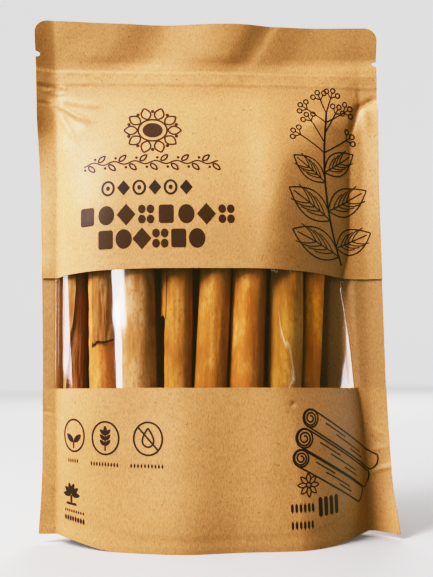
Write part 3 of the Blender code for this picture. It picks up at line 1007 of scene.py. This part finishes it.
def quill_drawing(start, angle, length, radius, width):
    """A rolled quill seen from its side: its scroll, its two sides and its far end."""
    shapes = [scroll(*start, radius, 2.2, width), ring(*start, radius, radius, width)]
    ends = []
    for side in (-1, 1):
        near = toward(start, angle + 90 * side, radius)
        ends.append(toward(near, angle, length))
        shapes.append(line([near, ends[-1]], width))
    far = toward(toward(start, angle, length), angle, radius * 0.8)
    shapes.append(line(bend(ends[0], far, ends[1]), width))
    for k, (near, run) in enumerate(((0.18, 0.30), (0.35, 0.42), (0.60, 0.22))):
        offset = toward(start, angle + 90, radius * (0.5 - 0.45 * k))
        shapes.append(line([toward(offset, angle, near * length),
                            toward(offset, angle, (near + run) * length)], width * 0.8))
    return shapes


def add_print(name, place, shapes, ink):
    """Prints flat shapes around a place, as ink that stands a little out of the paper."""
    x0, v0 = place
    x = spaced(-PRINT_REACH, PRINT_REACH, PRINT_STEP)
    y = middle(x, v0) - half_depth(x, v0)
    run = np.concatenate([[0], np.cumsum(np.hypot(np.diff(x), np.diff(y)))])
    here = np.interp(x0, x, run)
    foot, top = (front_surface(np.array(x0), np.array(v)) for v in (v0, v0 + 1.0))
    stretch = float(np.linalg.norm(top - foot))
    points = []
    faces = []
    count = 0
    for shape in shapes:
        px = np.interp(here + shape[..., 0], run, x)
        pv = v0 + shape[..., 1] / stretch
        outer = front_surface(px, pv)
        normal = normals(front_surface, px, pv)
        found, quads = sheet_mesh(outer + normal * INK_RISE, outer - normal * INK_ROOT)
        points.append(found)
        faces.append(quads + count)
        count += len(found)
    return add_piece(name, np.concatenate(points), np.concatenate(faces), ink)


def emblem():
    """A plain round flower."""
    shapes = [disc(0, 0, 4.6, 3.8), ring(0, 0, 6.6, 5.6, 0.8)]
    for k in range(10):
        a = math.tau * k / 10
        base = (6.9 * math.cos(a), 5.9 * math.sin(a))
        shapes += leaf(base, math.degrees(a), 6.2, 2.2, 0.75)
        shapes.append(disc(11.4 * math.cos(a + 0.314), 10.0 * math.sin(a + 0.314), 0.8, 0.8))
    return shapes


def sprig():
    """A leafy twig with berries."""
    stem = bend((7, -37), (-6, -8), (1, 34))
    shapes = [line(stem, 0.9)]
    for at, angle, length, belly in (
        (1, 160, 26, 6.6), (2, 24, 20, 5.8), (5, 150, 24, 6.4), (6, 30, 24, 6.2),
        (9, 146, 19, 5.0), (10, 34, 20, 5.2),
    ):
        shapes += leaf(tuple(stem[at]), angle, length, belly, 0.55, veins=4)
    for at, angle, length in (
        (12, 148, 14), (12, 32, 15), (13, 122, 12), (14, 58, 12), (15, 145, 11), (15, 30, 12),
        (16, 112, 7), (16, 70, 8),
    ):
        root = tuple(stem[at])
        end = toward(root, angle, length)
        shapes.append(line([root, end], 0.55))
        for turn in (-50, 0, 50):
            tip = toward(end, angle + turn, 2.8)
            shapes += [line([end, tip], 0.5), ring(*toward(tip, angle + turn, 1.2), 1.2, 1.2, 0.6)]
    return shapes


def spice_drawing():
    """Three quills side by side and a small star of seed pods."""
    shapes = []
    for start, length, radius in (
        ((-16.0, 14.5), 45, 3.7), ((-19.5, 6.5), 44, 3.9), ((-21.5, -1.5), 40, 3.5),
    ):
        shapes += quill_drawing(start, -29, length, radius, 0.65)
    for k in range(8):
        shapes += leaf(toward((-18.5, -12.6), 45 * k, 0.8), 45 * k, 4.2, 1.0, 0.5)
    return shapes


def icon_ring():
    return ring(0, 0, 6.1, 6.9, 0.75)


def icon_leaf():
    leaves = [solid_leaf((0, -3.0), angle, 5.8, 1.3) for angle in (40, 140)]
    return [icon_ring(), line([(0, -5.6), (0, -2.8)], 0.7)] + leaves


def icon_ear():
    shapes = [icon_ring(), line([(0, -5.4), (0, 3.2)], 0.6), solid_leaf((0, 1.8), 90, 3.6, 0.8)]
    for y in (-3.2, -1.0, 1.2):
        shapes += [solid_leaf((0, y), 90 + 44 * side, 3.6, 0.8) for side in (-1, 1)]
    return shapes


def icon_drop():
    sides = [line(bend((0, 4.4), (4.9 * s, -2.4), (0, -3.6)), 0.75) for s in (-1, 1)]
    return [icon_ring(), line([(-4.3, 4.8), (4.3, -4.8)], 0.75)] + sides


def thin_row():
    """A waving stem with a leaf on each bend."""
    x = np.linspace(-30.5, 30.5, 62)
    shapes = [line(np.stack([x, 0.8 * np.sin(x * math.pi / 4.7)], 1), 0.6)]
    for k in range(13):
        side = 1 if k % 2 else -1
        base = (-28.2 + 4.7 * k, 0.7 * side)
        shapes += leaf(base, 44 * side, 4.3, 1.0, 0.7)
        shapes.append(disc(base[0] - 1.6, 2.3 * side, 0.6, 0.6))
    return shapes


def outline_row():
    """Rings and lozenges in turn."""
    shapes = []
    for k in range(6):
        x = -17.5 + 7.0 * k
        if k % 2:
            shapes.append(lozenge(x, 0, 2.9, 3.6))
        else:
            shapes += [ring(x, 0, 2.6, 3.2, 1.0), disc(x, 0, 0.9, 1.1)]
    return shapes


def bold_row(count, step):
    """Heavy simple shapes in turn: block, disc, lozenge and four dots."""
    shapes = []
    for k in range(count):
        x = step * (k - (count - 1) / 2)
        kind = k % 4
        if kind == 0:
            shapes.append(block(x - 3.3, -4.2, x + 3.3, 4.2))
        elif kind == 1:
            shapes.append(disc(x, 0, 3.6, 4.4))
        elif kind == 2:
            shapes.append(lozenge(x, 0, 4.2, 5.0))
        else:
            shapes += [disc(x + 1.9 * i, 2.3 * j, 1.7, 2.0) for i in (-1, 1) for j in (-1, 1)]
    return shapes


def ticks(x0, x1, y0, y1, count, share=0.55):
    """A row of equal upright bars."""
    pitch = (x1 - x0) / count
    starts = [x0 + pitch * k for k in range(count)]
    return [block(x, y0, x + pitch * share, y1) for x in starts]


def badge():
    """A small tree over two rows of ticks."""
    shapes = [block(-0.6, -4.6, 0.6, -1.0), block(-3.2, -5.4, 3.2, -4.4)]
    shapes += [solid_leaf((0, -1.0), angle, 5.4, 1.1) for angle in (0, 36, 72, 108, 144, 180)]
    return shapes + ticks(-4.2, 8.2, -8.6, -7.2, 9) + ticks(-4.2, 8.4, -12.4, -9.8, 8, 0.7)


def weight_bars():
    shapes = ticks(-12.5, -1.4, 1.4, 5.2, 6) + ticks(-12.5, -2.0, -5.4, -2.0, 6)
    return shapes + ticks(0.2, 12.6, -1.0, 7.2, 4, 0.62)


def print_front(dark, brown):
    for name, place, shapes, ink in (
        ("print_emblem", (-27.0, 179.5), emblem(), brown),
        ("print_thin_row", (-28.0, 162.8), thin_row(), dark),
        ("print_outline_row", (-29.5, 150.6), outline_row(), dark),
        ("print_bold_row_1", (-25.5, 138.2), bold_row(8, 8.9), brown),
        ("print_bold_row_2", (-27.8, 127.2), bold_row(6, 8.1), brown),
        ("print_sprig", (53.0, 157.0), sprig(), dark),
        ("print_icon_1", (-62.3, 44.2), icon_leaf(), dark),
        ("print_icon_2", (-48.0, 43.9), icon_ear(), dark),
        ("print_icon_3", (-29.6, 44.0), icon_drop(), dark),
        ("print_label_1", (-62.4, 33.6), ticks(-3.4, 3.4, -0.9, 0.9, 5, 0.5), dark),
        ("print_label_2", (-48.2, 33.4), ticks(-6.8, 6.8, -0.9, 0.9, 10, 0.5), dark),
        ("print_label_3", (-29.8, 33.4), ticks(-7.4, 7.4, -0.9, 0.9, 10, 0.5), dark),
        ("print_badge", (-63.5, 20.0), badge(), dark),
        ("print_quills", (54.0, 37.5), spice_drawing(), dark),
        ("print_weight", (42.0, 13.5), weight_bars(), dark),
    ):
        add_print(name, place, shapes, ink)


# The studio's floor and walls, in metres
STUDIO_RADIUS = 2.4
STUDIO_SWEEP = 0.7
STUDIO_HEIGHT = 2.8
FLOOR_SIDES = 48
SWEEP_STEPS = 12
GLOW_NEAR = 0.10
GLOW_FAR = 0.74
WORLD_COLOUR = (1.0, 0.95, 0.85, 1.0)
WORLD_STRENGTH = 0.20


def floor_material(name):
    """Pale grey that glows more the further it is from the middle."""
    n = Nodes(name)
    scaled = n.add("ShaderNodeMapping", Scale=[1 / STUDIO_RADIUS] * 3)
    n.link(n.place, scaled.inputs["Vector"])
    near = n.add("ShaderNodeTexGradient")
    near.gradient_type = "SPHERICAL"
    n.link(scaled.outputs["Vector"], near.inputs["Vector"])
    glow = n.add("ShaderNodeMapRange", To_Min=GLOW_FAR, To_Max=GLOW_NEAR)
    n.link(near.outputs["Fac"], glow.inputs["Value"])
    n.link(glow.outputs["Result"], n.shader.inputs["Emission Strength"])
    n.set(Base_Color=(0.38, 0.37, 0.36, 1.0), Roughness=0.9, Emission_Color=(1.0, 0.99, 0.98, 1.0))
    return n.material


def make_floor():
    """A round pale floor that sweeps up into walls. Its glow isn't cast on the pouch."""
    profile = [(0.0001, 0.0), (STUDIO_RADIUS / 3, 0.0), (STUDIO_RADIUS, 0.0)]
    for k in range(1, SWEEP_STEPS + 1):
        a = math.pi / 2 * k / SWEEP_STEPS
        reach = STUDIO_RADIUS + STUDIO_SWEEP * math.sin(a)
        profile.append((reach, STUDIO_SWEEP * (1 - math.cos(a))))
    profile.append((STUDIO_RADIUS + STUDIO_SWEEP, STUDIO_HEIGHT))
    turn = np.linspace(0, math.tau, FLOOR_SIDES + 1)[:-1]
    reach, rise = np.array(profile).T[:, :, None]
    points = np.stack([reach * np.cos(turn), reach * np.sin(turn), rise + 0 * turn], -1)
    faces = grid_faces(len(profile), FLOOR_SIDES, ring=True)
    floor = mesh_object("floor", points.reshape(-1, 3), faces, floor_material("floor_white"))
    floor.visible_diffuse = False
    floor.visible_glossy = False


# The soft boxes: azimuth (0 in front of the pouch, 90 at its right), elevation, distance
# from its centre, width, height, power and roll. Metres, degrees and watts
CENTRE = Vector((0.0, 0.0, 0.115))
LIGHTS = (
    ("key", -55, 38, 1.5, 0.5, 0.9, 38.0, 0),
    ("near", -62, 46, 0.45, 0.22, 0.30, 2.4, 0),
    ("edge_strip", 45, 5, 0.8, 0.010, 0.34, 0.04, 60),
    ("right_glare", 101, 4, 0.8, 0.44, 0.26, 3.0, 0),
    ("left_glare", -105, 6, 0.8, 0.50, 0.24, 2.8, 0),
    ("wide_glare", -21.0, 3, 1.0, 0.070, 0.21, 0.7, 0),
    ("wide_glare_top", -20.3, 11, 1.0, 0.125, 0.14, 0.75, 0),
    ("rear_fill", 170, 35, 1.5, 0.8, 0.8, 22.0, 0),
)


def add_light(name, azimuth, elevation, distance, width, tall, energy, roll):
    a = math.radians(azimuth)
    e = math.radians(elevation)
    away = Vector((math.sin(a) * math.cos(e), -math.cos(a) * math.cos(e), math.sin(e)))
    light = bpy.data.lights.new(name, "AREA")
    light.shape = "RECTANGLE"
    light.size = width
    light.size_y = tall
    light.energy = energy
    lamp = bpy.data.objects.new(name, light)
    lamp.location = CENTRE + away * distance
    lamp.rotation_mode = "QUATERNION"
    rolled = Quaternion((0, 0, 1), math.radians(roll))
    lamp.rotation_quaternion = away.to_track_quat("Z", "Y") @ rolled
    lamp.visible_camera = False
    bpy.context.scene.collection.objects.link(lamp)


# Tone curve, like a camera's: linear light in, linear light out
TONE = (
    (0.0, 0.0), (0.08, 0.045), (0.2, 0.145), (0.4, 0.37), (0.7, 0.64), (1.0, 0.79), (1.6, 0.90),
    (2.4, 0.97),
)
# The same for blue alone, for warmer shadows
BLUE_TONE = (
    (0.0, 0.0), (0.05, 0.025), (0.10, 0.072), (0.16, 0.145), (0.25, 0.26), (0.4, 0.42),
    (1.0, 1.03), (2.4, 2.4),
)


def set_tone(view):
    """Deeper and warmer shadows and softer highlights."""
    view.view_transform = "Standard"
    view.use_curve_mapping = True
    mapping = view.curve_mapping
    full = TONE[-1][0]
    mapping.white_level = (full, full, full)
    blue, all_colours = mapping.curves[2:4]
    for curve, table, scale in ((all_colours, TONE, 1.0), (blue, BLUE_TONE, full)):
        curve.points[0].location = (0.0, 0.0)
        curve.points[-1].location = (1.0, table[-1][1] / scale)
        for start, end in table[1:-1]:
            curve.points.new(start / full, end / scale)
    mapping.update()


def light_scene():
    for row in LIGHTS:
        add_light(*row)
    world = bpy.data.worlds.new("studio")
    world.use_nodes = True
    background = world.node_tree.nodes["Background"]
    background.inputs["Color"].default_value = WORLD_COLOUR
    background.inputs["Strength"].default_value = WORLD_STRENGTH
    bpy.context.scene.world = world
    set_tone(bpy.context.scene.view_settings)


# Camera, found from the photo's outline, rim and window. Metres and degrees
CAMERA_PLACE = (-0.01675, -0.37698, 0.07858)
CAMERA_YAW = 2.771
CAMERA_PITCH = 5.117
CAMERA_ROLL = -0.8615
FOCAL_PIXELS = 824.09
PHOTO_HEIGHT = 577
SENSOR = 36.0


def add_camera():
    matrix = Matrix.Translation(CAMERA_PLACE)
    for degrees, axis in ((-CAMERA_YAW, "Z"), (90 + CAMERA_PITCH, "X"), (CAMERA_ROLL, "Z")):
        matrix = matrix @ Matrix.Rotation(math.radians(degrees), 4, axis)
    data = bpy.data.cameras.new("camera")
    data.sensor_width = SENSOR
    data.lens = FOCAL_PIXELS * SENSOR / PHOTO_HEIGHT
    data.clip_start = 0.01
    data.clip_end = 20
    camera = bpy.data.objects.new("camera", data)
    camera.matrix_world = matrix
    bpy.context.scene.collection.objects.link(camera)
    bpy.context.scene.camera = camera


def main():
    make_pouch(kraft_material("kraft"))
    make_film(film_material("film"))
    print_front(ink_material("dark_ink", DARK_INK), ink_material("brown_ink", BROWN_INK))
    for index, quill in enumerate(QUILLS):
        tint, paleness = BARK_TINTS_AND_PAINTED_LIGHT.get(quill.name, BARK_BEHIND_PAINTED_LIGHTER)
        bark = bark_material(quill.name.replace("quill", "bark"), tint, paleness)
        make_quill(index, quill, bark)
    make_patches()
    make_floor()
    light_scene()
    add_camera()


main()
